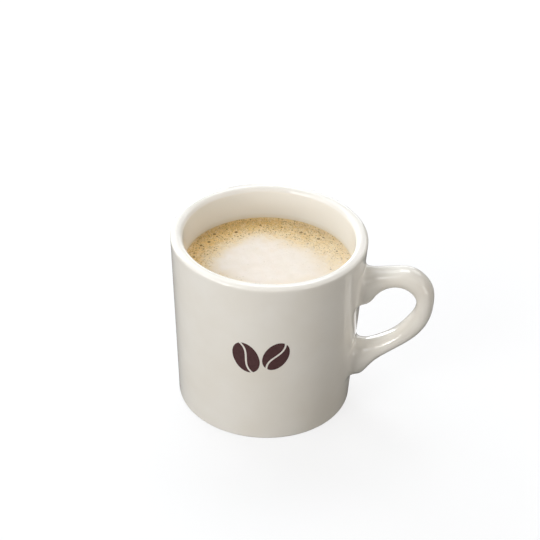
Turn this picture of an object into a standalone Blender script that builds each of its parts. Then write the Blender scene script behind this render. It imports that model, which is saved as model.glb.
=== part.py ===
# A milky coffee in a thick glazed mug with one ear-shaped handle.
# Metres, +Z up. The origin is the middle of the mug's foot, on the table,
# and the handle points along +X, with XZ as its mirror plane.
import math
import random

import bmesh
import bpy

# mug, outside
MUG_HEIGHT = 0.0774
RIM_RADIUS = 0.0400
FOOT_RADIUS = 0.0363
FOOT_CORNER = 0.0010
# lip: its highest point lies LIP_CREST in from the outside, with a short round outside it
# and a longer, softer roll down into the hollow inside it
LIP_THICKNESS = 0.0050
LIP_CREST = 0.0024
LIP_RISE = 0.0016
INNER_ROLL = 0.0026
# mug, inside: the wall is thicker towards the floor
LOW_WALL_THICKNESS = 0.0062
FLOOR_THICKNESS = 0.0060
FLOOR_CORNER = 0.0090
# steps round the mug, and along the foot corner, each side of the lip, and the floor corner
MUG_SEGMENTS = 96
FOOT_STEPS = 4
LIP_STEPS = 5
FLOOR_STEPS = 6

# handle: outer edge (reach, height), inner edge (reach, height) and half width,
# from the upper root inside the wall, round the bend, to the lower root
HANDLE_STATIONS = (
    (0.0372, 0.0659, 0.0370, 0.0503, 0.0106),
    (0.0394, 0.0663, 0.0391, 0.0504, 0.0101),
    (0.0420, 0.0669, 0.0420, 0.0510, 0.0071),
    (0.0454, 0.0675, 0.0452, 0.0550, 0.0056),
    (0.0498, 0.0681, 0.0498, 0.0599, 0.0052),
    (0.0576, 0.0690, 0.0558, 0.0604, 0.0051),
    (0.0656, 0.0641, 0.0600, 0.0576, 0.0051),
    (0.0688, 0.0543, 0.0615, 0.0533, 0.0051),
    (0.0666, 0.0439, 0.0597, 0.0473, 0.0051),
    (0.0592, 0.0345, 0.0546, 0.0394, 0.0051),
    (0.0514, 0.0276, 0.0480, 0.0340, 0.0052),
    (0.0456, 0.0216, 0.0436, 0.0318, 0.0057),
    (0.0416, 0.0156, 0.0400, 0.0309, 0.0071),
    (0.0379, 0.0142, 0.0379, 0.0304, 0.0101),
    (0.0358, 0.0141, 0.0358, 0.0302, 0.0106),
)
STEPS_BETWEEN_STATIONS = 3
HANDLE_SIDES = 24
# the section bulges past an oval at its four corners by this share
HANDLE_BULGE = 0.047
# the roots hug the round wall up to this reach
HUG_REACH = 0.0470

# drink: a solid up to its level, with foam relief on top
DRINK_LEVEL = 0.0629
DRINK_GAP = 0.0003
DRINK_SEGMENTS = 64
DRINK_RINGS = 17
# milk cap: its height, its radius as a share of the drink's, the waves of its edge
# (waves round, depth as a share, turn) and the slope's reach inside and outside that edge
FOAM_RISE = 0.0006
FOAM_EDGE = 0.72
EDGE_WAVES = ((3, 0.05, 0.6), (5, 0.04, 0.0))
SLOPE_INSIDE = 0.0055
SLOPE_OUTSIDE = 0.0025
# the foam climbs the wall a little
MENISCUS_RISE = 0.0003
MENISCUS_WIDTH = 0.0016
# larger bubbles between the milk cap and the wall
BUBBLE_COUNT = 120
BUBBLE_REACH = 0.97
BUBBLE_RADII = (0.0013, 0.0022)
BUBBLE_HEIGHT = 0.0003
BUBBLE_SEED = 11

# finish, colours linear
GLAZE_COLOUR = (0.78, 0.74, 0.66)
GLAZE_ROUGHNESS = 0.12
FOAM_COLOUR = (0.86, 0.74, 0.60)
FOAM_ROUGHNESS = 0.45
SHARP_DEGREES = 40


def clear_scene():
    for thing in list(bpy.data.objects):
        bpy.data.objects.remove(thing, do_unlink=True)


def make_material(name, colour, roughness):
    material = bpy.data.materials.new(name)
    material.use_nodes = True
    shader = material.node_tree.nodes["Principled BSDF"]
    shader.inputs["Base Color"].default_value = (*colour, 1.0)
    shader.inputs["Roughness"].default_value = roughness
    shader.inputs["Metallic"].default_value = 0.0
    return material


def add_object(name, mesh_data, material):
    mesh = bpy.data.meshes.new(name)
    mesh_data.to_mesh(mesh)
    mesh_data.free()
    mesh.shade_smooth()
    mesh.set_sharp_from_angle(angle=math.radians(SHARP_DEGREES))
    mesh.materials.append(material)
    thing = bpy.data.objects.new(name, mesh)
    bpy.context.scene.collection.objects.link(thing)
    return thing


def arc(centre, radii, start, end, steps):
    """Points of an elliptical arc in the (radius, height) plane, angles in degrees."""
    points = []
    for i in range(steps + 1):
        angle = math.radians(start + (end - start) * i / steps)
        points.append((centre[0] + radii[0] * math.cos(angle),
                       centre[1] + radii[1] * math.sin(angle)))
    return points


def wall_radius(height):
    """Outer radius of the straight, slightly flared wall."""
    shoulder = MUG_HEIGHT - LIP_RISE
    share = (height - FOOT_CORNER) / (shoulder - FOOT_CORNER)
    return FOOT_RADIUS + (RIM_RADIUS - FOOT_RADIUS) * share


def inner_radius(height):
    """Radius of the hollow, straight from the lip's roll down to the round of the floor."""
    inner_high = MUG_HEIGHT - INNER_ROLL
    inner_low = FLOOR_THICKNESS + FLOOR_CORNER
    top = RIM_RADIUS - LIP_THICKNESS
    low = wall_radius(inner_low) - LOW_WALL_THICKNESS
    return low + (top - low) * (height - inner_low) / (inner_high - inner_low)


def mug_profile():
    """Half section from the middle of the foot, up the wall, over the lip and down to the floor."""
    foot_centre = (FOOT_RADIUS - FOOT_CORNER, FOOT_CORNER)
    foot = arc(foot_centre, (FOOT_CORNER, FOOT_CORNER), -90, 0, FOOT_STEPS)
    middle = MUG_HEIGHT * 0.5
    crest = RIM_RADIUS - LIP_CREST
    lip = arc((crest, MUG_HEIGHT - LIP_RISE), (LIP_CREST, LIP_RISE), 0, 90, LIP_STEPS)
    roll = arc((crest, MUG_HEIGHT - INNER_ROLL), (LIP_THICKNESS - LIP_CREST, INNER_ROLL), 90, 180, LIP_STEPS)
    inner_low = FLOOR_THICKNESS + FLOOR_CORNER
    floor_centre = (inner_radius(inner_low) - FLOOR_CORNER, inner_low)
    floor = arc(floor_centre, (FLOOR_CORNER, FLOOR_CORNER), 0, -90, FLOOR_STEPS)
    return ([(0.0, 0.0)] + foot + [(wall_radius(middle), middle)] + lip + roll[1:]
            + [(inner_radius(middle), middle)] + floor + [(0.0, FLOOR_THICKNESS)])


def turn(profile, segments, lift=None):
    """Closed solid from a half section that starts and ends on the axis.

    lift(x, y) is added to the height of the points marked in the profile by a third value.
    """
    solid = bmesh.new()
    rings = []
    for point in profile:
        radius, height = point[0], point[1]
        share = point[2] if len(point) > 2 else 0.0
        if radius < 1e-9:
            raised = height + (share * lift(0.0, 0.0) if lift else 0.0)
            rings.append([solid.verts.new((0.0, 0.0, raised))])
            continue
        ring = []
        for i in range(segments):
            angle = 2 * math.pi * i / segments
            x, y = radius * math.cos(angle), radius * math.sin(angle)
            raised = height + (share * lift(x, y) if lift else 0.0)
            ring.append(solid.verts.new((x, y, raised)))
        rings.append(ring)
    for low, high in zip(rings, rings[1:]):
        for i in range(segments):
            j = (i + 1) % segments
            if len(low) == 1:
                solid.faces.new((low[0], high[j], high[i]))
            elif len(high) == 1:
                solid.faces.new((low[i], low[j], high[0]))
            else:
                solid.faces.new((low[i], low[j], high[j], high[i]))
    bmesh.ops.recalc_face_normals(solid, faces=solid.faces)
    return solid


def smooth_stations(stations, steps):
    """Catmull-Rom curve through the rows, each a tuple of numbers."""
    padded = [stations[0]] + list(stations) + [stations[-1]]
    rows = []
    for i in range(1, len(padded) - 2):
        before, start, end, after = padded[i - 1:i + 3]
        for k in range(steps):
            t = k / steps
            rows.append([
                0.5 * (2 * b + (c - a) * t + (2 * a - 5 * b + 4 * c - d) * t ** 2
                       + (3 * b - a - 3 * c + d) * t ** 3)
                for a, b, c, d in zip(before, start, end, after)])
    rows.append(list(stations[-1]))
    return rows


def make_handle(material):
    """Ear-shaped tube, oval in section with full corners, whose flared roots end inside the wall."""
    solid = bmesh.new()
    rings = []
    for outer_x, outer_z, inner_x, inner_z, half_width in smooth_stations(
            HANDLE_STATIONS, STEPS_BETWEEN_STATIONS):
        middle_x, middle_z = (outer_x + inner_x) * 0.5, (outer_z + inner_z) * 0.5
        half_x, half_z = (outer_x - inner_x) * 0.5, (outer_z - inner_z) * 0.5
        ring = []
        for i in range(HANDLE_SIDES):
            angle = 2 * math.pi * i / HANDLE_SIDES
            bulge = 1 + HANDLE_BULGE * math.sin(2 * angle) ** 2
            x = middle_x + half_x * bulge * math.cos(angle)
            y = half_width * bulge * math.sin(angle)
            z = middle_z + half_z * bulge * math.cos(angle)
            wall = wall_radius(z)
            hug = min(1.0, max(0.0, (HUG_REACH - x) / (HUG_REACH - wall)))
            x -= hug * (wall - math.sqrt(wall ** 2 - y ** 2))
            ring.append(solid.verts.new((x, y, z)))
        rings.append(ring)
    for here, there in zip(rings, rings[1:]):
        for i in range(HANDLE_SIDES):
            j = (i + 1) % HANDLE_SIDES
            solid.faces.new((here[i], here[j], there[j], there[i]))
    solid.faces.new(rings[0])
    solid.faces.new(rings[-1])
    bmesh.ops.recalc_face_normals(solid, faces=solid.faces)
    handle = add_object("handle_blank", solid, material)
    handle.hide_render = True
    handle.display_type = 'WIRE'
    return handle


def make_mug(material):
    mug = add_object("mug", turn(mug_profile(), MUG_SEGMENTS), material)
    join = mug.modifiers.new("join handle", 'BOOLEAN')
    join.operation = 'UNION'
    join.solver = 'EXACT'
    join.object = make_handle(material)
    return mug


def smooth_step(low, high, value):
    t = min(1.0, max(0.0, (value - low) / (high - low)))
    return t * t * (3 - 2 * t)


def foam_relief(drink_radius):
    """Height of the foam over the level: a low milk cap, fine bubbles round it, a rim on the wall."""
    draw = random.Random(BUBBLE_SEED)
    bubbles = []
    for _ in range(BUBBLE_COUNT):
        distance = drink_radius * math.sqrt(draw.uniform(FOAM_EDGE ** 2, BUBBLE_REACH ** 2))
        angle = draw.uniform(0, 2 * math.pi)
        size = draw.uniform(*BUBBLE_RADII)
        bubbles.append((distance * math.cos(angle), distance * math.sin(angle), size))

    def lift(x, y):
        distance = math.hypot(x, y)
        angle = math.atan2(y, x)
        waves = sum(depth * math.sin(count * angle + turned) for count, depth, turned in EDGE_WAVES)
        edge = drink_radius * (FOAM_EDGE + waves)
        cap = FOAM_RISE * (1 - smooth_step(edge - SLOPE_INSIDE, edge + SLOPE_OUTSIDE, distance))
        rim = MENISCUS_RISE * smooth_step(drink_radius - MENISCUS_WIDTH, drink_radius, distance)
        bump = 0.0
        for bubble_x, bubble_y, size in bubbles:
            near = math.hypot(x - bubble_x, y - bubble_y) / size
            if near < 1.0:
                bump = max(bump, BUBBLE_HEIGHT * math.sqrt(1 - near ** 2))
        return cap + rim + bump

    return lift


def make_drink(material):
    """The drink fills the mug's hollow up to the level, a hair clear of the wall and floor."""
    inner_low = FLOOR_THICKNESS + FLOOR_CORNER
    low_radius = inner_radius(inner_low) - DRINK_GAP
    top_radius = inner_radius(DRINK_LEVEL) - DRINK_GAP
    corner = FLOOR_CORNER - DRINK_GAP
    bottom = FLOOR_THICKNESS + DRINK_GAP
    floor = arc((low_radius - corner, inner_low), (corner, corner), -90, 0, FLOOR_STEPS)
    surface = []
    for i in range(DRINK_RINGS):
        surface.append((top_radius * (1 - i / DRINK_RINGS), DRINK_LEVEL, 1.0))
    profile = [(0.0, bottom)] + floor + surface + [(0.0, DRINK_LEVEL, 1.0)]
    return add_object("latte", turn(profile, DRINK_SEGMENTS, foam_relief(top_radius)), material)


clear_scene()
glaze = make_material("glaze", GLAZE_COLOUR, GLAZE_ROUGHNESS)
foam = make_material("milk foam", FOAM_COLOUR, FOAM_ROUGHNESS)
make_mug(glaze)
make_drink(foam)
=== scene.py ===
import math
import random

import bmesh
import bpy
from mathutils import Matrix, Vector, noise


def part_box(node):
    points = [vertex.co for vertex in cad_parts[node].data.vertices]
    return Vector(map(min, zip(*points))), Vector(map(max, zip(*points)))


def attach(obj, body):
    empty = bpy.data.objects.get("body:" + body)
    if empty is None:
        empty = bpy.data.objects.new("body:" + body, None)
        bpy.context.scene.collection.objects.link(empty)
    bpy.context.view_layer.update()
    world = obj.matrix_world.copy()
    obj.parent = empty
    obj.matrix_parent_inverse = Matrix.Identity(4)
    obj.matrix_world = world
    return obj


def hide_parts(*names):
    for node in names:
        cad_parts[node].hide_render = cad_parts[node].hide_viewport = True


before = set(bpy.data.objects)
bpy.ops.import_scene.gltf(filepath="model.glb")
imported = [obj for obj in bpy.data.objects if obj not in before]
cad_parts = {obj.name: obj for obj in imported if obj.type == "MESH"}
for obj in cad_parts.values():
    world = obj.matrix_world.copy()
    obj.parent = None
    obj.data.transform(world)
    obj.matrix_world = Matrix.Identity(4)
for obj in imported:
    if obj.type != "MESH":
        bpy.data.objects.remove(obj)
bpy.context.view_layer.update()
mm = 0.001                          # all sizes are in metres unless they say mm


# small helpers

def deselectAll():
    bpy.ops.object.select_all(action='DESELECT')


def pick(piece):
    deselectAll()
    piece.select_set(True)
    bpy.context.view_layer.objects.active = piece


def startPiece(name):
    # names the primitive that was just added and opens it for editing
    piece = bpy.context.object
    piece.name = name
    piece.data.name = name
    bpy.ops.object.mode_set(mode='EDIT')
    return piece


def selectFaces(piece, wanted):
    bpy.ops.mesh.select_mode(type='FACE')
    bpy.ops.mesh.select_all(action='DESELECT')
    mesh = bmesh.from_edit_mesh(piece.data)
    for face in mesh.faces:
        face.select = wanted(face.calc_center_median())
    mesh.select_flush_mode()
    bmesh.update_edit_mesh(piece.data)


def selectOpenEdges(piece, wanted):
    # edges with one face or none, whose middle is wanted
    bpy.ops.mesh.select_mode(type='EDGE')
    bpy.ops.mesh.select_all(action='DESELECT')
    mesh = bmesh.from_edit_mesh(piece.data)
    for edge in mesh.edges:
        middle = (edge.verts[0].co + edge.verts[1].co) * 0.5
        edge.select = len(edge.link_faces) < 2 and wanted(middle)
    mesh.select_flush_mode()
    bmesh.update_edit_mesh(piece.data)


def applyModifier(piece, kind, **values):
    pick(piece)
    modifier = piece.modifiers.new(kind.lower(), kind)
    for key, value in values.items():
        setattr(modifier, key, value)
    bpy.ops.object.modifier_apply(modifier=modifier.name)


def smoothPiece(piece, levels):
    applyModifier(piece, 'SUBSURF', levels=levels, render_levels=levels)
    bpy.ops.object.shade_smooth()


def turnedPiece(name, columns, rings):
    # a closed turned cage: a disc is extruded from ring to ring, each (radius, height)
    radius, height = rings[0]
    deselectAll()
    bpy.ops.mesh.primitive_circle_add(vertices=columns, radius=radius, fill_type='NGON',
                                      location=(0, 0, height))
    bpy.ops.object.transform_apply(location=True, rotation=False, scale=False)
    piece = startPiece(name)
    for nextRadius, nextHeight in rings[1:]:
        move = {"value": (0, 0, nextHeight - height)}
        bpy.ops.mesh.extrude_region_move(TRANSFORM_OT_translate=move)
        grow = nextRadius / radius
        bpy.ops.transform.resize(value=(grow, grow, 1), center_override=(0, 0, nextHeight))
        radius, height = nextRadius, nextHeight
    bpy.ops.object.mode_set(mode='OBJECT')
    return piece


def cageThrough(rows, rounds=12):
    # cage rows whose smoothed curve passes through the wanted rows; the first and last stay
    cage = [list(row) for row in rows]
    for _ in range(rounds):
        for i in range(1, len(rows) - 1):
            for k, wanted in enumerate(rows[i]):
                reached = (cage[i - 1][k] + 4 * cage[i][k] + cage[i + 1][k]) / 6
                cage[i][k] += wanted - reached
    return cage


def ringShrink(sides):
    # how far smoothing pulls a ring of that many sides in
    return (4 + 2 * math.cos(2 * math.pi / sides)) / 6


# materials

def newMaterial(name):
    material = bpy.data.materials.new(name)
    material.use_nodes = True
    nodes, links = material.node_tree.nodes, material.node_tree.links
    shader = nodes["Principled BSDF"]
    return material, nodes, links, shader


def newGroup(name, inputs, outputs):
    group = bpy.data.node_groups.new(name, 'ShaderNodeTree')
    for label, value in inputs.items():
        kind = 'NodeSocketVector' if value is None else 'NodeSocketFloat'
        socket = group.interface.new_socket(label, in_out='INPUT', socket_type=kind)
        if value is not None:
            socket.default_value = value
    for label in outputs:
        group.interface.new_socket(label, in_out='OUTPUT', socket_type='NodeSocketFloat')
    return group, group.nodes.new('NodeGroupInput'), group.nodes.new('NodeGroupOutput')


unevenShape = {
    "inputs": {"Place": None, "Scale": 60.0, "Low": 0.0, "High": 1.0},
    "detail": 3,
    "contrast": (0.3, 0.7),         # the noise between these is spread from low to high
}


def unevenGroup():
    # soft mottling in a range, from noise on the place that is fed in
    group, given, result = newGroup("uneven", unevenShape["inputs"], ["Value"])
    mottle = group.nodes.new('ShaderNodeTexNoise')
    mottle.inputs["Detail"].default_value = unevenShape["detail"]
    span = group.nodes.new('ShaderNodeMapRange')
    span.inputs["From Min"].default_value, span.inputs["From Max"].default_value = unevenShape["contrast"]
    group.links.new(given.outputs["Place"], mottle.inputs["Vector"])
    group.links.new(given.outputs["Scale"], mottle.inputs["Scale"])
    group.links.new(mottle.outputs["Fac"], span.inputs["Value"])
    group.links.new(given.outputs["Low"], span.inputs["To Min"])
    group.links.new(given.outputs["High"], span.inputs["To Max"])
    group.links.new(span.outputs["Result"], result.inputs["Value"])
    return group


uneven = unevenGroup()


def addUneven(nodes, links, place, scale, low, high):
    node = nodes.new('ShaderNodeGroup')
    node.node_tree = uneven
    node.inputs["Scale"].default_value = scale
    node.inputs["Low"].default_value = low
    node.inputs["High"].default_value = high
    links.new(place, node.inputs["Place"])
    return node.outputs["Value"]


def mixColours(nodes, links, share, first, second):
    # first and second are a colour or a socket
    mix = nodes.new('ShaderNodeMix')
    mix.data_type = 'RGBA'
    links.new(share, mix.inputs["Factor"])
    for value, socket in ((first, mix.inputs["A"]), (second, mix.inputs["B"])):
        if isinstance(value, tuple):
            socket.default_value = (*value, 1)
        else:
            links.new(value, socket)
    return mix.outputs["Result"]


def ramp(nodes, links, value, low, high):
    # 0 at low and 1 at high, or past them
    span = nodes.new('ShaderNodeMapRange')
    span.inputs["From Min"].default_value = low
    span.inputs["From Max"].default_value = high
    links.new(value, span.inputs["Value"])
    return span.outputs["Result"]


def times(nodes, links, first, second):
    # a socket times a socket or a number
    product = nodes.new('ShaderNodeMath')
    product.operation = 'MULTIPLY'
    links.new(first, product.inputs[0])
    if isinstance(second, (int, float)):
        product.inputs[1].default_value = second
    else:
        links.new(second, product.inputs[1])
    return product.outputs[0]


def axisDistance(nodes, links, place):
    # how far a place is from the piece's upright axis
    flat = nodes.new('ShaderNodeVectorMath')
    flat.operation = 'MULTIPLY'
    flat.inputs[1].default_value = (1, 1, 0)
    links.new(place, flat.inputs[0])
    reach = nodes.new('ShaderNodeVectorMath')
    reach.operation = 'LENGTH'
    links.new(flat.outputs["Vector"], reach.inputs[0])
    return reach.outputs["Value"]


glazeFinish = {
    "colour": (0.80, 0.765, 0.70),
    "thickColour": (0.76, 0.715, 0.635),    # where the glaze lies thicker
    "thickScale": 45,                       # thick and thin places per metre
    "hollowPaintedLightColour": (0.785, 0.760, 0.702),  # painted light: the inside is painted a little paler, against the warm light bounced round the hollow
    "lipHighlightColour": (0.85, 0.813, 0.745),      # painted highlight: the lip, which turns up into the light, is painted paler
    "lipHighlightFrom": (0.0745, 0.0772),            # heights between which the painted highlight on the lip sets in, m
    "filmColour": (0.62, 0.50, 0.30),       # faint film of milky coffee above the drink
    "filmHeights": (0.0655, 0.0632),        # where the film ends and where it is full, m
    "filmShare": 0.42,                      # how strong the film is
    "hollowFrom": (0.050, 0.055),           # the inner wall that shows begins at this height, m
    "hollowWithin": (0.0372, 0.0366),       # and ends at this radius, m
    "roughness": (0.07, 0.13),
    "roughnessScale": 160,
    "waveScale": 220,                       # faint waves in the glaze per metre
    "waveDepth": 0.00002,                   # m
}


def glazeMaterial():
    material, nodes, links, shader = newMaterial("glaze")
    place = nodes.new('ShaderNodeTexCoord').outputs["Object"]
    thick = addUneven(nodes, links, place, glazeFinish["thickScale"], 0, 1)
    colour = mixColours(nodes, links, thick, glazeFinish["colour"], glazeFinish["thickColour"])
    split = nodes.new('ShaderNodeSeparateXYZ')
    links.new(place, split.inputs["Vector"])
    height = split.outputs["Z"]
    # the inner wall is told from the outer one by its distance from the axis
    within = ramp(nodes, links, axisDistance(nodes, links, place), *glazeFinish["hollowWithin"])
    hollow = times(nodes, links, within, ramp(nodes, links, height, *glazeFinish["hollowFrom"]))
    # painted light: the inner wall is painted paler, to offset the warm light that bounces round inside
    colour = mixColours(nodes, links, hollow, colour, glazeFinish["hollowPaintedLightColour"])
    # painted highlight: the lip is painted paler where it turns up to the light
    lipHighlight = ramp(nodes, links, height, *glazeFinish["lipHighlightFrom"])
    colour = mixColours(nodes, links, lipHighlight, colour, glazeFinish["lipHighlightColour"])
    film = times(nodes, links, hollow, ramp(nodes, links, height, *glazeFinish["filmHeights"]))
    film = times(nodes, links, film, glazeFinish["filmShare"])
    colour = mixColours(nodes, links, film, colour, glazeFinish["filmColour"])
    links.new(colour, shader.inputs["Base Color"])
    roughness = addUneven(nodes, links, place, glazeFinish["roughnessScale"], *glazeFinish["roughness"])
    links.new(roughness, shader.inputs["Roughness"])
    bump = nodes.new('ShaderNodeBump')
    bump.inputs["Distance"].default_value = glazeFinish["waveDepth"]
    links.new(addUneven(nodes, links, place, glazeFinish["waveScale"], 0, 1), bump.inputs["Height"])
    links.new(bump.outputs["Normal"], shader.inputs["Normal"])
    return material


foamFinish = {
    "cream": (0.865, 0.783, 0.692),
    "dullCream": (0.83, 0.74, 0.635),
    "creamScale": 260,                      # duller places in the milk per metre
    "honey": (0.83, 0.655, 0.395),          # halfway from the milk to the gold
    "gold": (0.785, 0.515, 0.18),
    "halfway": 0.5,                         # the share of tan at which the foam is honey
    # the fine bubbles: how many per metre, how deep in m, and how uneven the tan is from one to the next
    "bubbleScale": 1150,
    "bubbleDepth": 0.00008,
    "scatter": 0.22,
    "patchScale": 330,                      # larger patches per metre
    "patches": 0.16,                        # and how uneven the tan is between them
    "unevenFrom": (0.08, 0.35),             # shares of tan between which all this sets in
    # single dark and pale bubbles: colour, strength, and the random values that start and end them
    "specks": (((0.42, 0.25, 0.080), 0.34, (0.38, 0.0)),
               ((0.86, 0.72, 0.48), 0.42, (0.62, 1.0))),
    "specksFrom": (0.15, 0.60),             # shares of tan between which they set in
    "roughness": (0.34, 0.50),
    "roughnessScale": 420,
    "specular": 0.3,
    "subsurface": 0.15,
    "subsurfaceReach": (0.0012, 0.0009, 0.0006),
}


def foamMaterial():
    material, nodes, links, shader = newMaterial("milk foam")
    place = nodes.new('ShaderNodeTexCoord').outputs["Object"]
    # the piece's own marks: red is the share of tan, green painted light that lightens the rim against the
    # wall's shade, blue faint marks
    marks = nodes.new('ShaderNodeAttribute')
    marks.attribute_name = "foamMarks"
    mark = nodes.new('ShaderNodeSeparateColor')
    links.new(marks.outputs["Color"], mark.inputs["Color"])
    # every fine bubble is a cell with random values
    cells = nodes.new('ShaderNodeTexVoronoi')
    cells.inputs["Scale"].default_value = foamFinish["bubbleScale"]
    links.new(place, cells.inputs["Vector"])
    draw = nodes.new('ShaderNodeSeparateColor')
    links.new(cells.outputs["Color"], draw.inputs["Color"])
    share = mark.outputs["Red"]
    inRing = ramp(nodes, links, share, *foamFinish["unevenFrom"])
    patches = addUneven(nodes, links, place, foamFinish["patchScale"], 0, 1)
    for value, reach in ((draw.outputs["Red"], foamFinish["scatter"]), (patches, foamFinish["patches"])):
        # the share strays by half the reach to either side, in the ring alone
        stray = nodes.new('ShaderNodeMath')
        stray.operation = 'MULTIPLY_ADD'
        stray.inputs[1].default_value = reach
        stray.inputs[2].default_value = -reach / 2
        links.new(value, stray.inputs[0])
        total = nodes.new('ShaderNodeMath')
        links.new(share, total.inputs[0])
        links.new(times(nodes, links, stray.outputs[0], inRing), total.inputs[1])
        share = total.outputs[0]
    dull = addUneven(nodes, links, place, foamFinish["creamScale"], 0, 1)
    cream = mixColours(nodes, links, dull, foamFinish["cream"], foamFinish["dullCream"])
    cream = mixColours(nodes, links, mark.outputs["Blue"], cream, foamFinish["gold"])
    halfway = foamFinish["halfway"]
    colour = mixColours(nodes, links, ramp(nodes, links, share, 0, halfway), cream, foamFinish["honey"])
    colour = mixColours(nodes, links, ramp(nodes, links, share, halfway, 1), colour, foamFinish["gold"])
    speckled = ramp(nodes, links, mark.outputs["Red"], *foamFinish["specksFrom"])
    for tint, strength, drawn in foamFinish["specks"]:
        speck = times(nodes, links, ramp(nodes, links, draw.outputs["Green"], *drawn), speckled)
        colour = mixColours(nodes, links, times(nodes, links, speck, strength), colour, tint)
    # painted light: the rim at the wall is pulled towards honey, which lightens the gold ring against the
    # wall's shade
    colour = mixColours(nodes, links, mark.outputs["Green"], colour, foamFinish["honey"])
    links.new(colour, shader.inputs["Base Color"])
    roughness = addUneven(nodes, links, place, foamFinish["roughnessScale"], *foamFinish["roughness"])
    links.new(roughness, shader.inputs["Roughness"])
    shader.inputs["Specular IOR Level"].default_value = foamFinish["specular"]
    shader.inputs["Subsurface Weight"].default_value = foamFinish["subsurface"]
    shader.inputs["Subsurface Radius"].default_value = foamFinish["subsurfaceReach"]
    bump = nodes.new('ShaderNodeBump')
    bump.invert = True
    bump.inputs["Distance"].default_value = foamFinish["bubbleDepth"]
    links.new(cells.outputs["Distance"], bump.inputs["Height"])
    links.new(bump.outputs["Normal"], shader.inputs["Normal"])
    return material


bubbleFinish = {
    "dark": (0.24, 0.13, 0.035),
    "pale": (0.86, 0.78, 0.66),
    "gold": (0.62, 0.41, 0.15),
    "roughness": (0.16, 0.30),
    "roughnessScale": 500,
    "specular": 0.4,
}


def bubbleMaterial():
    material, nodes, links, shader = newMaterial("bubble film")
    place = nodes.new('ShaderNodeTexCoord').outputs["Object"]
    # the piece's own marks: red is the shade from dark to light, green the share of tan below
    marks = nodes.new('ShaderNodeAttribute')
    marks.attribute_name = "bubbleMarks"
    mark = nodes.new('ShaderNodeSeparateColor')
    links.new(marks.outputs["Color"], mark.inputs["Color"])
    light = mixColours(nodes, links, mark.outputs["Green"], bubbleFinish["pale"], bubbleFinish["gold"])
    colour = mixColours(nodes, links, mark.outputs["Red"], bubbleFinish["dark"], light)
    links.new(colour, shader.inputs["Base Color"])
    shader.inputs["Specular IOR Level"].default_value = bubbleFinish["specular"]
    roughness = addUneven(nodes, links, place, bubbleFinish["roughnessScale"], *bubbleFinish["roughness"])
    links.new(roughness, shader.inputs["Roughness"])
    return material


printFinish = {
    "colour": (0.070, 0.032, 0.032),
    "wear": 1.25,                   # how much paler the thin places are
    "wearScale": 700,               # thin places per metre
    "roughness": 0.16,
}


def printMaterial():
    material, nodes, links, shader = newMaterial("print")
    place = nodes.new('ShaderNodeTexCoord').outputs["Object"]
    thin = addUneven(nodes, links, place, printFinish["wearScale"], 0, 1)
    worn = tuple(part * printFinish["wear"] for part in printFinish["colour"])
    links.new(mixColours(nodes, links, thin, printFinish["colour"], worn), shader.inputs["Base Color"])
    shader.inputs["Roughness"].default_value = printFinish["roughness"]
    return material


# mug

mugLow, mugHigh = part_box("mug")
mugShape = {
    "columns": 32,                  # faces round the cage
    "smoothing": 3,
    "height": mugHigh.z,
    "rimRadius": mugHigh.y,
    "footRadius": 36.3 * mm,
    "footCorner": 1.0 * mm,
    "lipThickness": 5.0 * mm,
    "lipCrest": 2.4 * mm,           # from the outside to the highest point
    "lipRise": 1.6 * mm,            # the crest over the outer wall
    "innerRoll": 2.6 * mm,          # how far down inside the lip rolls into the wall
    "lowWall": 6.2 * mm,            # wall thickness at the floor's corner
    "floorThickness": 6.0 * mm,
    "floorCorner": 9.0 * mm,
    # the cage's rings: across the underside, which are measured in from the foot's edge but for the first
    "underRings": (20 * mm, 3.3 * mm),
    "cornerHold": 1.4,              # how near the foot's corner its two rings stand, in corners
    # heights up the outside
    "lowRings": (4 * mm, 8.5 * mm),
    "lowerRoot": (14.2 * mm, 22.3 * mm, 30.6 * mm),
    "waistRing": 40 * mm,
    "upperRoot": (50.1 * mm, 58.2 * mm, 66.1 * mm),
    "rootMargin": 0.9 * mm,         # the next ring above or below a root
    "rootCorner": 1.4 * mm,         # how far a root's corners are drawn in, so that it is round
    "highRings": (71.5 * mm, 74 * mm),
    # angles round the lip, outside and inside
    "lipAngles": ((0, 30, 60, 90), (112.5, 135, 157.5, 180)),
    # heights down the inside, the last one drawn in, and radii across the floor
    "throatRings": (71 * mm, 67 * mm),
    "hollowRings": (60 * mm, 40 * mm, 22 * mm, 14 * mm),
    "cornerRing": (8 * mm, 1.5 * mm, 8.2 * mm),
    "floorRings": (26 * mm, 20 * mm, 10 * mm),
}

shoulder = mugShape["height"] - mugShape["lipRise"]


def wallRadius(height):
    share = (height - mugShape["footCorner"]) / (shoulder - mugShape["footCorner"])
    return mugShape["footRadius"] + (mugShape["rimRadius"] - mugShape["footRadius"]) * share


def hollowRadius(height):
    low = mugShape["floorThickness"] + mugShape["floorCorner"]
    high = mugShape["height"] - mugShape["innerRoll"]
    bottom = wallRadius(low) - mugShape["lowWall"]
    top = mugShape["rimRadius"] - mugShape["lipThickness"]
    return bottom + (top - bottom) * (height - low) / (high - low)


def lipRings():
    # a short quarter of an ellipse outside and a taller one inside meet at the crest
    crest = mugShape["rimRadius"] - mugShape["lipCrest"]
    inside = mugShape["lipThickness"] - mugShape["lipCrest"]
    rows = [(wallRadius(level), level) for level in mugShape["highRings"]]
    outerAngles, innerAngles = mugShape["lipAngles"]
    for width, drop, angles in ((mugShape["lipCrest"], mugShape["lipRise"], outerAngles),
                                (inside, mugShape["innerRoll"], innerAngles)):
        for angle in angles:
            across, up = math.cos(math.radians(angle)), math.sin(math.radians(angle))
            rows.append((crest + width * across, mugShape["height"] - drop + drop * up))
    rows += [(hollowRadius(level), level) for level in mugShape["throatRings"]]
    return cageThrough(rows)


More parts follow.
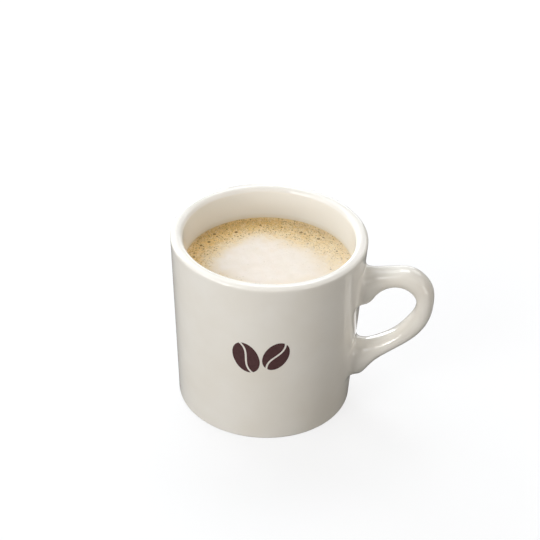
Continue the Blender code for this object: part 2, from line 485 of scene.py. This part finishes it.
def mugRings():
    # from the middle of the underside up the outside, over the lip and down to the middle of the floor
    foot, margin = mugShape["footRadius"], mugShape["rootMargin"]
    hold = mugShape["cornerHold"] * mugShape["footCorner"]
    middle, edge = mugShape["underRings"]
    rings = [(middle, 0), (foot - edge, 0), (foot - hold, 0), (foot, 0)]
    levels = [hold, *mugShape["lowRings"]]
    for root, after in ((mugShape["lowerRoot"], [mugShape["waistRing"]]), (mugShape["upperRoot"], [])):
        levels += [root[0] - margin, *root, root[2] + margin, *after]
    rings += [(wallRadius(level), level) for level in levels]
    rings += lipRings()
    rings += [(hollowRadius(level), level) for level in mugShape["hollowRings"]]
    level, drawnIn, lifted = mugShape["cornerRing"]
    rings.append((hollowRadius(level) - drawnIn, lifted))
    rings += [(radius, mugShape["floorThickness"]) for radius in mugShape["floorRings"]]
    widen = 1 / ringShrink(mugShape["columns"])
    return [(radius * widen, level) for radius, level in rings]


# handle: outer edge (reach, height), inner edge (reach, height) and half width,
# in mm, from the upper root round the bend to the lower root
handleShape = {
    "sides": 8,
    "squareness": 1.1,              # 1 for an oval arm, more for one with flatter faces
    "stations": (
        (41.6, 66.5, 41.6, 50.7, 7.0),
        (43.8, 67.0, 43.8, 52.7, 5.9),
        (46.6, 67.5, 46.6, 57.0, 5.3),
        (51.0, 68.3, 51.4, 60.3, 5.1),
        (57.6, 69.0, 55.8, 60.5, 5.1),
        (63.8, 66.2, 59.2, 58.7, 5.1),
        (67.8, 60.6, 61.4, 55.4, 5.1),
        (68.6, 53.6, 61.4, 51.6, 5.1),
        (67.3, 45.6, 60.2, 48.0, 5.1),
        (63.0, 38.2, 57.0, 42.8, 5.1),
        (57.4, 32.6, 53.0, 37.9, 5.1),
        (51.4, 27.3, 48.4, 34.4, 5.2),
        (46.2, 22.0, 44.8, 32.3, 5.6),
        (42.6, 16.7, 42.0, 31.2, 6.3),
        (40.2, 14.8, 39.8, 30.8, 7.0),
    ),
}


def addHandleRing(outerX, outerZ, innerX, innerZ, halfWidth):
    # an oval ring that stands across the arm, from its inner to its outer edge
    acrossX, acrossZ = outerX - innerX, outerZ - innerZ
    middle = ((outerX + innerX) / 2, 0, (outerZ + innerZ) / 2)
    tilt = math.atan2(acrossZ, acrossX)
    deselectAll()
    bpy.ops.mesh.primitive_circle_add(vertices=handleShape["sides"], radius=1, fill_type='NOTHING',
                                      location=middle, rotation=(0, -tilt, 0))
    ring = bpy.context.object
    for vertex in ring.data.vertices:
        # the corners, which lie neither on one axis nor on the other
        if min(abs(vertex.co.x), abs(vertex.co.y)) > 0.1:
            vertex.co *= handleShape["squareness"]
    ring.scale = (math.hypot(acrossX, acrossZ) / 2, halfWidth, 1)
    bpy.ops.object.transform_apply(location=True, rotation=True, scale=True)
    return ring


def handleTube():
    # rings are joined one by one, and each is bridged to the one before
    sides = handleShape["sides"]
    shrink = (4 + 2 * handleShape["squareness"] * math.cos(2 * math.pi / sides)) / 6
    rows = []
    for outerX, outerZ, innerX, innerZ, halfWidth in handleShape["stations"]:
        middleX, middleZ = (outerX + innerX) / 2, (outerZ + innerZ) / 2
        acrossX, acrossZ = (outerX - innerX) / shrink, (outerZ - innerZ) / shrink
        rows.append((middleX + acrossX / 2, middleZ + acrossZ / 2, middleX - acrossX / 2,
                     middleZ - acrossZ / 2, halfWidth / shrink))
    tube = None
    for row in cageThrough(rows):
        ring = addHandleRing(*[value * mm for value in row])
        if tube is None:
            tube = ring
            continue
        pick(tube)
        ring.select_set(True)
        bpy.ops.object.join()
        bpy.ops.object.mode_set(mode='EDIT')
        bpy.ops.mesh.select_mode(type='VERT')
        bpy.ops.mesh.select_all(action='DESELECT')
        mesh = bmesh.from_edit_mesh(tube.data)
        mesh.verts.ensure_lookup_table()
        for vertex in mesh.verts[-2 * sides:]:
            vertex.select = True
        mesh.select_flush_mode()
        bmesh.update_edit_mesh(tube.data)
        bpy.ops.mesh.bridge_edge_loops()
        bpy.ops.object.mode_set(mode='OBJECT')
    return tube


def drawCornersIn(mug, columnAngle):
    # the four corners of each root slide along the wall towards the root's middle
    mesh = bmesh.from_edit_mesh(mug.data)
    for vertex in mesh.verts:
        x, y, z = vertex.co
        if x < 0 or abs(abs(math.atan2(y, x)) - columnAngle) > 0.01 or len(vertex.link_faces) > 3:
            continue
        for low, middle, high in (mugShape["lowerRoot"], mugShape["upperRoot"]):
            if min(abs(z - low), abs(z - high)) < 0.01 * mm:
                vertex.co.z += math.copysign(mugShape["rootCorner"], middle - z)
                vertex.co.xy *= wallRadius(vertex.co.z) / wallRadius(z)
    bmesh.update_edit_mesh(mug.data)


def makeMug():
    mug = turnedPiece("glazed_mug", mugShape["columns"], mugRings())
    columnAngle = 2 * math.pi / mugShape["columns"]

    def inRoot(centre, root):
        outside = centre.xy.length > mugShape["rimRadius"] - mugShape["lipThickness"]
        facing = abs(math.atan2(centre.y, centre.x)) < columnAngle
        return outside and facing and root[0] < centre.z < root[2]

    tube = handleTube()
    pick(mug)
    bpy.ops.object.mode_set(mode='EDIT')
    roots = (mugShape["lowerRoot"], mugShape["upperRoot"])
    selectFaces(mug, lambda centre: any(inRoot(centre, root) for root in roots))
    bpy.ops.mesh.delete(type='FACE')
    drawCornersIn(mug, columnAngle)
    bpy.ops.object.mode_set(mode='OBJECT')
    tube.select_set(True)
    bpy.ops.object.join()
    bpy.ops.object.mode_set(mode='EDIT')
    halfway = (mugShape["lowerRoot"][2] + mugShape["upperRoot"][0]) / 2
    for above in (True, False):
        selectOpenEdges(mug, lambda middle: (middle.z > halfway) == above)
        bpy.ops.mesh.bridge_edge_loops()
    bpy.ops.mesh.select_all(action='SELECT')
    bpy.ops.mesh.remove_doubles(threshold=0.00001)
    bpy.ops.mesh.normals_make_consistent(inside=False)
    bpy.ops.object.mode_set(mode='OBJECT')
    smoothPiece(mug, mugShape["smoothing"])
    mug.data.materials.append(glazeMaterial())
    return mug


# drink: a solid up to its level, with the milk foam as relief on top

drinkShape = {
    "columns": 56,
    "smoothing": 3,
    "level": 62.9 * mm,
    "wallReach": 0.5 * mm,          # the drink reaches just into the wall
    "edgeReach": 1.6 * mm,          # and further at its level, where the wall hides the cage's corner
    "floorGap": 0.3 * mm,
    # the cage's rings: across the bottom, its corner, up the wall with the share of the reach, the surface
    "bottomRings": (14 * mm, 24 * mm),
    "cornerRing": (28.5 * mm, 8.5 * mm),
    "wallRings": ((18 * mm, -1), (40 * mm, -1), (58 * mm, 1)),
    "edgeRings": (2 * mm, 1 * mm),  # heights under the level
    "edgeInside": 0.6 * mm,
    "surfaceRings": (34, 31.5, 29, 26.5, 24, 21, 17.5, 13.5, 9, 5, 2),      # radii in mm
    "turn": -10,                    # the foam's pattern faces the camera, degrees
    "capCentre": (-1.2 * mm, -1.0 * mm),
    "capReach": (11.5 * mm, 31 * mm),       # where the milk starts to turn tan, and where it has ended
    # how the milk's edge wanders: waves per metre and how far
    "capWander": ((70, 2.4 * mm), (210, 2.0 * mm), (520, 0.9 * mm)),
    "tanSide": (145, 0.68, 0.38),   # heading of the darkest tan, its middle share and its change round
    "capRise": 0.5 * mm,
    "meniscus": (0.3 * mm, 1.6 * mm),       # how high and how wide the edge climbs the wall
    "wallPaintedLight": (1.8 * mm, 0.2 * mm),       # painted light that lightens the rim against the wall's shade, from the wall: where it starts and is full
    "wallPaintedLightShare": 0.35,
    "ripple": (320, 0.10 * mm),     # waves per metre and height
    "foamDepth": 0.4 * mm,          # what lies higher than this under the level is foam
    # tan that runs into the milk, or milk into the tan: place, reach in mm, and how much
    "runs": ((12.0, 18.0, 5.0, 0.20), (20.0, 13.5, 5.0, 0.06), (-24.0, 14.0, 5.0, 0.06),
             (-14.0, 19.0, 4.5, 0.10), (-4.0, 20.5, 4.0, -0.10), (-22.0, -3.0, 7.0, -0.25),
             (-10.0, -19.0, 4.0, 0.12), (24.0, -9.0, 8.0, -0.10), (-16.0, 9.0, 5.0, -0.08)),
    # faint marks in the milk: place and reach in mm
    "faintMarks": ((1.3, 8.0, 1.1), (4.6, 10.4, 0.9), (3.0, 8.8, 0.7), (-4.8, 9.6, 0.7)),
    "faintShare": 0.10,
}


def drinkRings():
    level, reach = drinkShape["level"], drinkShape["wallReach"]
    bottom = mugShape["floorThickness"] + drinkShape["floorGap"]
    rings = [(radius, bottom) for radius in drinkShape["bottomRings"]]
    rings.append(drinkShape["cornerRing"])
    lower, upper = drinkShape["edgeRings"]
    rings += [(hollowRadius(height) + reach * share, height)
              for height, share in (*drinkShape["wallRings"], (level - lower, 1))]
    edge = hollowRadius(level) + drinkShape["edgeReach"]
    rings += [(edge, level - upper), (edge, level), (hollowRadius(level) + drinkShape["edgeInside"], level)]
    return rings + [(radius * mm, level) for radius in drinkShape["surfaceRings"]]


def turned(x, y, degrees):
    turn = math.radians(degrees)
    return (x * math.cos(turn) - y * math.sin(turn), x * math.sin(turn) + y * math.cos(turn))


def foamPlace(x, y):
    # the pattern's own axes: to the picture's right, and away from the camera
    return turned(x, y, drinkShape["turn"])


def drinkPlace(u, v):
    # and back to the part's axes
    return turned(u, v, -drinkShape["turn"])


def smoothStep(low, high, value):
    share = min(1, max(0, (value - low) / (high - low)))
    return share * share * (3 - 2 * share)


def hill(u, v, place, reach):
    # 1 at the place, fading to 0 within about twice the reach; place and reach in mm
    away = math.hypot(u - place[0] * mm, v - place[1] * mm) / (reach * mm)
    return math.exp(-away * away)


def tanAmount(x, y):
    # 0 on the milk, 1 on the tan ring
    u, v = foamPlace(x, y)
    distance = math.hypot(u - drinkShape["capCentre"][0], v - drinkShape["capCentre"][1])
    for i, (fineness, reach) in enumerate(drinkShape["capWander"]):
        distance += noise.noise(Vector((u * fineness, v * fineness, 3.1 + 4 * i))) * reach
    heading, middle, change = drinkShape["tanSide"]
    most = min(1, middle + change * math.cos(math.atan2(v, u) - math.radians(heading)))
    share = most * smoothStep(*drinkShape["capReach"], distance)
    for across, away, reach, amount in drinkShape["runs"]:
        share += amount * hill(u, v, (across, away), reach)
    return min(1, max(0, share))


def foamLift(x, y, share):
    # the milk stands a little proud, and the edge climbs the wall
    wall = hollowRadius(drinkShape["level"])
    rise, width = drinkShape["meniscus"]
    lift = drinkShape["capRise"] * (1 - share) + rise * smoothStep(wall - width, wall, math.hypot(x, y))
    fineness, height = drinkShape["ripple"]
    return lift + noise.noise(Vector((x * fineness, y * fineness, 1.7))) * height


def makeDrink():
    drink = turnedPiece("milk_foam", drinkShape["columns"], drinkRings())
    pick(drink)
    bpy.ops.object.mode_set(mode='EDIT')
    bpy.ops.mesh.select_all(action='SELECT')
    bpy.ops.mesh.normals_make_consistent(inside=False)
    bpy.ops.object.mode_set(mode='OBJECT')
    smoothPiece(drink, drinkShape["smoothing"])
    marks = drink.data.color_attributes.new(name="foamMarks", type='FLOAT_COLOR', domain='POINT')
    wall = hollowRadius(drinkShape["level"])
    paintedLightStart, paintedLightFull = drinkShape["wallPaintedLight"]
    for vertex in drink.data.vertices:
        x, y, z = vertex.co
        u, v = foamPlace(x, y)
        share = tanAmount(x, y)
        # painted light near the wall, against the shade that the wall casts on the foam
        paintedWallLight = drinkShape["wallPaintedLightShare"] * smoothStep(wall - paintedLightStart, wall - paintedLightFull, math.hypot(x, y))
        faint = max(hill(u, v, mark[:2], mark[2]) for mark in drinkShape["faintMarks"])
        marks.data[vertex.index].color = (share, paintedWallLight, drinkShape["faintShare"] * faint, 1)
        if z > drinkShape["level"] - drinkShape["foamDepth"]:
            vertex.co.z += foamLift(x, y, share)
    drink.data.materials.append(foamMaterial())
    return drink


# larger bubbles: one dome, copied all over the foam in one joined piece

bubbleShape = {
    "sides": 8,
    "rows": 3,
    "count": 2300,
    "seed": 7,
    "radii": (0.16 * mm, 0.42 * mm),
    "height": 0.55,                 # of the radius
    "sink": 0.25,                   # of the radius
    "milkShare": 0.05,              # how many stand on the milk, against the tan ring
    "ringFrom": (0.1, 0.8),         # shares of tan between which they grow as many as in the ring
    "paleUnder": 0.7,               # share of tan under which they turn paler
    "spacing": 0.9,                 # of the two radii
    # the few that stand out: place across and away, radius in mm, and shade from dark to pale
    "large": ((-14.0, 21.9, 0.85, 0.0), (-13.2, 18.4, 0.45, 0.15), (-23.0, 19.8, 0.80, 0.16),
              (-21.8, 18.0, 0.6, 0.25), (-25.0, 13.7, 0.80, 0.12), (-28.1, 10.8, 0.75, 0.12),
              (-27.0, 8.2, 0.5, 0.3), (-8.6, 20.6, 0.5, 0.3), (13.2, 23.5, 0.85, 0.25),
              (14.8, 22.4, 0.6, 0.35), (20.5, 18.9, 0.85, 0.3), (22.6, 20.2, 0.6, 0.3),
              (16.1, 15.2, 0.45, 0.5), (28.1, 9.8, 0.6, 0.45), (30.0, 4.2, 0.5, 0.5),
              (1.5, 25.2, 0.5, 0.3), (-2.0, 23.2, 0.45, 0.35), (5.0, 27.2, 0.6, 0.25),
              (25.4, -3.8, 0.45, 0.5), (-18.0, 24.2, 0.5, 0.3), (-4.0, 28.0, 0.6, 0.2),
              (9.5, 25.0, 0.5, 0.3), (-30.5, 2.0, 0.6, 0.2), (-17.0, 20.0, 0.5, 0.3)),
}


def bubbleDome():
    # the upper cap of a small ball, flattened and closed below
    deselectAll()
    bpy.ops.mesh.primitive_uv_sphere_add(segments=bubbleShape["sides"], ring_count=2 * bubbleShape["rows"],
                                         radius=1, location=(0, 0, 0))
    dome = startPiece("foam_bubbles")
    bpy.ops.mesh.select_all(action='SELECT')
    bpy.ops.mesh.bisect(plane_co=(0, 0, 0), plane_no=(0, 0, 1), use_fill=True, clear_inner=True)
    bpy.ops.mesh.select_all(action='SELECT')
    bpy.ops.transform.resize(value=(1, 1, bubbleShape["height"]), center_override=(0, 0, 0))
    bpy.ops.mesh.normals_make_consistent(inside=False)
    bpy.ops.object.mode_set(mode='OBJECT')
    return dome


def scatterBubbles():
    # places, radii and shades, none over another
    random.seed(bubbleShape["seed"])
    wall = hollowRadius(drinkShape["level"])
    small, large = bubbleShape["radii"]
    milkShare = bubbleShape["milkShare"]
    bubbles = []
    taken = {}                      # the bubbles so far by the cell of a grid that they stand in
    cell = 2 * large

    def keep(bubble):
        bubbles.append(bubble)
        taken.setdefault((int(bubble[0] // cell), int(bubble[1] // cell)), []).append(bubble)

    def isFree(u, v, radius):
        column, row = int(u // cell), int(v // cell)
        for across in (-1, 0, 1):
            for away in (-1, 0, 1):
                for otherU, otherV, otherRadius, _ in taken.get((column + across, row + away), []):
                    apart = math.hypot(u - otherU, v - otherV)
                    if apart < bubbleShape["spacing"] * (radius + otherRadius):
                        return False
        return True

    for across, away, radius, shade in bubbleShape["large"]:
        keep((across * mm, away * mm, radius * mm, shade))
    while len(bubbles) < bubbleShape["count"]:
        angle, reach = random.uniform(0, 2 * math.pi), wall * math.sqrt(random.random())
        # most are small, and a little more of them pale than dark
        radius = small + (large - small) * random.random() ** 3
        shade = random.random() ** 0.8
        chance = random.random()
        if reach > wall - radius:
            continue
        u, v = reach * math.cos(angle), reach * math.sin(angle)
        share = tanAmount(*drinkPlace(u, v))
        if chance > milkShare + (1 - milkShare) * smoothStep(*bubbleShape["ringFrom"], share):
            continue
        if isFree(u, v, radius):
            keep((u, v, radius, 1 - (1 - shade) * smoothStep(0, bubbleShape["paleUnder"], share)))
    return bubbles


def makeBubbles():
    dome = bubbleDome()
    corners = [vertex.co.copy() for vertex in dome.data.vertices]
    faces = [tuple(polygon.vertices) for polygon in dome.data.polygons]
    allCorners, allFaces, tints = [], [], []
    for u, v, radius, shade in scatterBubbles():
        x, y = drinkPlace(u, v)
        share = tanAmount(x, y)
        z = drinkShape["level"] + foamLift(x, y, share) - bubbleShape["sink"] * radius
        first = len(allCorners)
        for corner in corners:
            allCorners.append((x + radius * corner.x, y + radius * corner.y, z + radius * corner.z))
        allFaces += [tuple(first + index for index in face) for face in faces]
        tints += [(shade, share, 0, 1)] * len(corners)
    mesh = bpy.data.meshes.new("foam_bubbles")
    mesh.from_pydata(allCorners, [], allFaces)
    marks = mesh.color_attributes.new(name="bubbleMarks", type='FLOAT_COLOR', domain='POINT')
    for i, tint in enumerate(tints):
        marks.data[i].color = tint
    dome.data = mesh
    pick(dome)
    bpy.ops.object.shade_smooth()
    mesh.materials.append(bubbleMaterial())
    return dome


# printed motif: two coffee beans side by side, laid round the wall

printShape = {
    "azimuth": -82.5,
    "height": 43 * mm,
    # place across and up, width and length in mm, and lean in degrees
    "beans": ((-5.9, -0.6, 10.2, 15.4, -24), (6.1, 0.8, 9.8, 14.4, 27)),
    "sides": 64,
    "slab": 4 * mm,                 # depth of the bean while it is cut
    "seam": 0.5 * mm,               # half the seam's width
    "seamReach": 0.56,              # half the seam's length, of the bean's
    "seamBend": (0.42, 0.25, 1.2),  # its handles: across, of the width, and along, of half the seam
    "thickness": 0.05 * mm,
    "lift": 0.005 * mm,             # off the glaze, so that both show clean
    "strip": 0.6 * mm,
    "width": 26 * mm,               # what is sliced into strips
    "standOff": 60 * mm,            # where the motif stands before it is wrapped on
}


def addDisc(width, height):
    deselectAll()
    bpy.ops.mesh.primitive_cylinder_add(vertices=printShape["sides"], radius=0.5, depth=1, location=(0, 0, 0),
                                        rotation=(math.pi / 2, 0, 0))
    disc = bpy.context.object
    bpy.ops.object.transform_apply(rotation=True)
    disc.scale = (width, printShape["slab"], height)
    bpy.ops.object.transform_apply(scale=True)
    return disc


def cutWith(piece, cutter, operation):
    applyModifier(piece, 'BOOLEAN', operation=operation, object=cutter, solver='EXACT')
    bpy.data.objects.remove(cutter)


def addBean(width, height):
    bean = addDisc(width, height)
    # the seam is a swept S that runs from end to end
    deselectAll()
    bpy.ops.curve.primitive_bezier_curve_add(location=(0, 0, 0))
    seam = bpy.context.object
    seam.data.dimensions = '3D'
    bottom, top = seam.data.splines[0].bezier_points
    reach = height * printShape["seamReach"]
    across, inner, outer = printShape["seamBend"]
    for point in (bottom, top):
        point.handle_left_type = point.handle_right_type = 'FREE'
    bottom.co, top.co = (0, 0, -reach), (0, 0, reach)
    bottom.handle_left, bottom.handle_right = (0, 0, -reach * outer), (-width * across, 0, -reach * inner)
    top.handle_left, top.handle_right = (width * across, 0, reach * inner), (0, 0, reach * outer)
    seam.data.bevel_depth = printShape["seam"]
    seam.data.bevel_resolution = 2
    seam.data.use_fill_caps = True
    bpy.ops.object.convert(target='MESH')
    seam = bpy.context.object
    seam.scale = (1, 8, 1)          # deep enough to cut right through
    bpy.ops.object.transform_apply(scale=True)
    cutWith(bean, seam, 'DIFFERENCE')
    return bean


def makePrint():
    beans = []
    for across, up, width, length, lean in printShape["beans"]:
        bean = addBean(width * mm, length * mm)
        bean.rotation_euler = (0, math.radians(lean), 0)
        bean.location = (across * mm, 0, up * mm)
        beans.append(bean)
    deselectAll()
    for bean in beans:
        bean.select_set(True)
    bpy.context.view_layer.objects.active = beans[0]
    bpy.ops.object.transform_apply(location=True, rotation=True, scale=True)
    bpy.ops.object.join()
    motif = beans[0]
    motif.name = "printed_motif"
    motif.data.name = "printed_motif"
    # only the front faces stay, sliced into narrow strips that can follow the wall
    bpy.ops.object.mode_set(mode='EDIT')
    selectFaces(motif, lambda centre: centre.y > 0.1 * mm - printShape["slab"] / 2)
    bpy.ops.mesh.delete(type='FACE')
    low = -printShape["width"] / 2
    for i in range(int(printShape["width"] / printShape["strip"])):
        bpy.ops.mesh.select_all(action='SELECT')
        bpy.ops.mesh.bisect(plane_co=(low + i * printShape["strip"], 0, 0), plane_no=(1, 0, 0))
    bpy.ops.object.mode_set(mode='OBJECT')
    turn = math.radians(printShape["azimuth"] + 90)
    motif.rotation_euler = (0, 0, turn)
    away = printShape["standOff"]
    motif.location = (away * math.sin(turn), -away * math.cos(turn), printShape["height"])
    pick(motif)
    bpy.ops.object.transform_apply(location=True, rotation=True)
    # wrapped on to the wall along the way to the axis
    for vertex in motif.data.vertices:
        along = vertex.co.x * math.cos(turn) + vertex.co.y * math.sin(turn)
        radius = wallRadius(vertex.co.z) + printShape["lift"]
        angle = turn + along / radius
        vertex.co.x = radius * math.sin(angle)
        vertex.co.y = -radius * math.cos(angle)
    applyModifier(motif, 'SOLIDIFY', thickness=printShape["thickness"], offset=1)
    motif.data.materials.append(printMaterial())
    return motif


print("stage 1: mug")
mug = makeMug()
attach(mug, "root")
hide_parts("mug")

print("stage 2: drink")
drink = makeDrink()
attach(drink, "root")
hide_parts("latte")

print("stage 3: bubbles")
bubbles = makeBubbles()
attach(bubbles, "root")

print("stage 4: print")
motif = makePrint()
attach(motif, "root")


# floor, lights and camera

stageShape = {
    "floorSize": 6.0,
    "bounce": 0.135,                # how much light the floor sends back
    "paleness": (1.0, 1.0, 1.0),    # the floor and the backdrop as the camera sees them
    "shadowPaleness": 0.9,          # the floor's own colour, where its shading shows
    "shadowShare": 0.25,            # how much of the floor's own shading shows near the mug
    "shadowReach": (1.0, 0.35),     # where it has faded out, and where it begins to fade, in m
    "lightDistance": 1.0,
    "aimHeight": 0.04,
    "coolness": 1.3,                # how much blue a warm light loses, against the red that it gains
}

# the studio's soft boxes: heading and height above the table in degrees, width in m, power in W, warmth
softBoxes = {
    "window": (233, 6, 0.28, 4.1, 0.03),
    "leftFront": (240, 32, 0.42, 3.05, -0.03),
    "left": (210, 32, 0.42, 1.8, -0.03),
    "leftSide": (182, 50, 0.42, 0.6, -0.04),
    "leftHigh": (225, 58, 0.42, 0.3, -0.03),
    "front": (270, 32, 0.42, 0.1, 0),
    "rightFront": (300, 32, 0.42, 0.8, 0.02),
    "rightFrontSoft": (330, 32, 0.42, 0.4, 0.03),
    "rightLow": (330, 8, 0.45, 2.3, 0.02),
    "right": (0, 32, 0.42, 1.3, 0.04),
    "rightBackSoft": (30, 32, 0.42, 0.4, 0.04),
    "rightBack": (60, 32, 0.42, 1.25, 0),
    "back": (90, 32, 0.42, 0.4, -0.04),
    "backLeft": (120, 32, 0.42, 0.6, -0.04),
    "leftBack": (150, 32, 0.42, 2.3, -0.04),
    "backHigh": (90, 58, 0.42, 2.8, -0.04),
    "leftBackHigh": (135, 58, 0.42, 1.25, -0.04),
    "backRightLow": (90, 8, 0.45, 1.2, -0.04),
    "backLow": (120, 8, 0.45, 5.3, -0.04),
    "leftBackLow": (150, 8, 0.45, 0.9, -0.04),
}

# a strip that lies on the table behind the handle and shows as a line in the glaze
strip = {"place": (0.070, 0.050, 0.002), "size": (0.085, 0.007), "turn": 14, "power": 0.0020}


def linkToScene(name, data, place, turn):
    holder = bpy.data.objects.new(name, data)
    holder.location = place
    holder.rotation_euler = turn
    bpy.context.scene.collection.objects.link(holder)
    return holder


def addFloor():
    # the camera sees a pale floor with a faint shadow, and the mug gets little light back from it
    deselectAll()
    bpy.ops.mesh.primitive_plane_add(size=stageShape["floorSize"], location=(0, 0, 0))
    floor = bpy.context.object
    floor.name = "floor"
    material, nodes, links, shader = newMaterial("floor")
    bounce = stageShape["bounce"]
    shader.inputs["Base Color"].default_value = (bounce, bounce, bounce, 1)
    shader.inputs["Roughness"].default_value = 1
    shader.inputs["Specular IOR Level"].default_value = 0
    seen = nodes.new('ShaderNodeBsdfDiffuse')
    paleness = stageShape["shadowPaleness"]
    seen.inputs["Color"].default_value = (paleness, paleness, paleness, 1)
    glow = nodes.new('ShaderNodeEmission')
    glow.inputs["Color"].default_value = (*stageShape["paleness"], 1)
    faint = nodes.new('ShaderNodeMixShader')
    place = nodes.new('ShaderNodeTexCoord').outputs["Object"]
    near = ramp(nodes, links, axisDistance(nodes, links, place), *stageShape["shadowReach"])
    links.new(times(nodes, links, near, stageShape["shadowShare"]), faint.inputs["Fac"])
    links.new(glow.outputs[0], faint.inputs[1])
    links.new(seen.outputs[0], faint.inputs[2])
    choose = nodes.new('ShaderNodeMixShader')
    links.new(nodes.new('ShaderNodeLightPath').outputs["Is Camera Ray"], choose.inputs["Fac"])
    links.new(shader.outputs[0], choose.inputs[1])
    links.new(faint.outputs[0], choose.inputs[2])
    links.new(choose.outputs[0], nodes["Material Output"].inputs["Surface"])
    floor.data.materials.append(material)


def addBackdrop():
    # pale to the camera, dark to the mug
    world = bpy.data.worlds.new("studio")
    bpy.context.scene.world = world
    world.use_nodes = True
    nodes, links = world.node_tree.nodes, world.node_tree.links
    background = nodes["Background"]
    background.inputs["Color"].default_value = (*stageShape["paleness"], 1)
    links.new(nodes.new('ShaderNodeLightPath').outputs["Is Camera Ray"], background.inputs["Strength"])


def addLamp(name, size, power, place, turn):
    lamp = bpy.data.lights.new(name, 'AREA')
    lamp.shape = 'RECTANGLE'
    lamp.size, lamp.size_y = size
    lamp.energy = power
    linkToScene(name, lamp, place, turn).visible_camera = False
    return lamp


def addLights():
    target = Vector((0, 0, stageShape["aimHeight"]))
    for name, (heading, height, width, power, warmth) in softBoxes.items():
        turn, lift = math.radians(heading), math.radians(height)
        flat = math.cos(lift)
        towards = Vector((flat * math.cos(turn), flat * math.sin(turn), math.sin(lift)))
        lamp = addLamp(name, (width, width), power, target + stageShape["lightDistance"] * towards,
                       (-towards).to_track_quat('-Z', 'Y').to_euler())
        lamp.color = (1 + warmth, 1, 1 - stageShape["coolness"] * warmth)
    facingUp = (math.pi, 0, math.radians(strip["turn"]))
    addLamp("tableStrip", strip["size"], strip["power"], strip["place"], facingUp)


cameraShape = {
    "place": (0.09186, -0.52094, 0.41510),
    "turn": (56.053, -1.818, 11.141),
    "lens": 103.74,
    "sensor": 36,
}


def addCamera():
    camera = bpy.data.cameras.new("camera")
    camera.lens = cameraShape["lens"]
    camera.sensor_width = cameraShape["sensor"]
    turn = [math.radians(angle) for angle in cameraShape["turn"]]
    bpy.context.scene.camera = linkToScene("camera", camera, cameraShape["place"], turn)


print("stage 5: floor, lights and camera")
addFloor()
addBackdrop()
addLights()
addCamera()
bpy.context.scene.view_settings.view_transform = 'Standard'
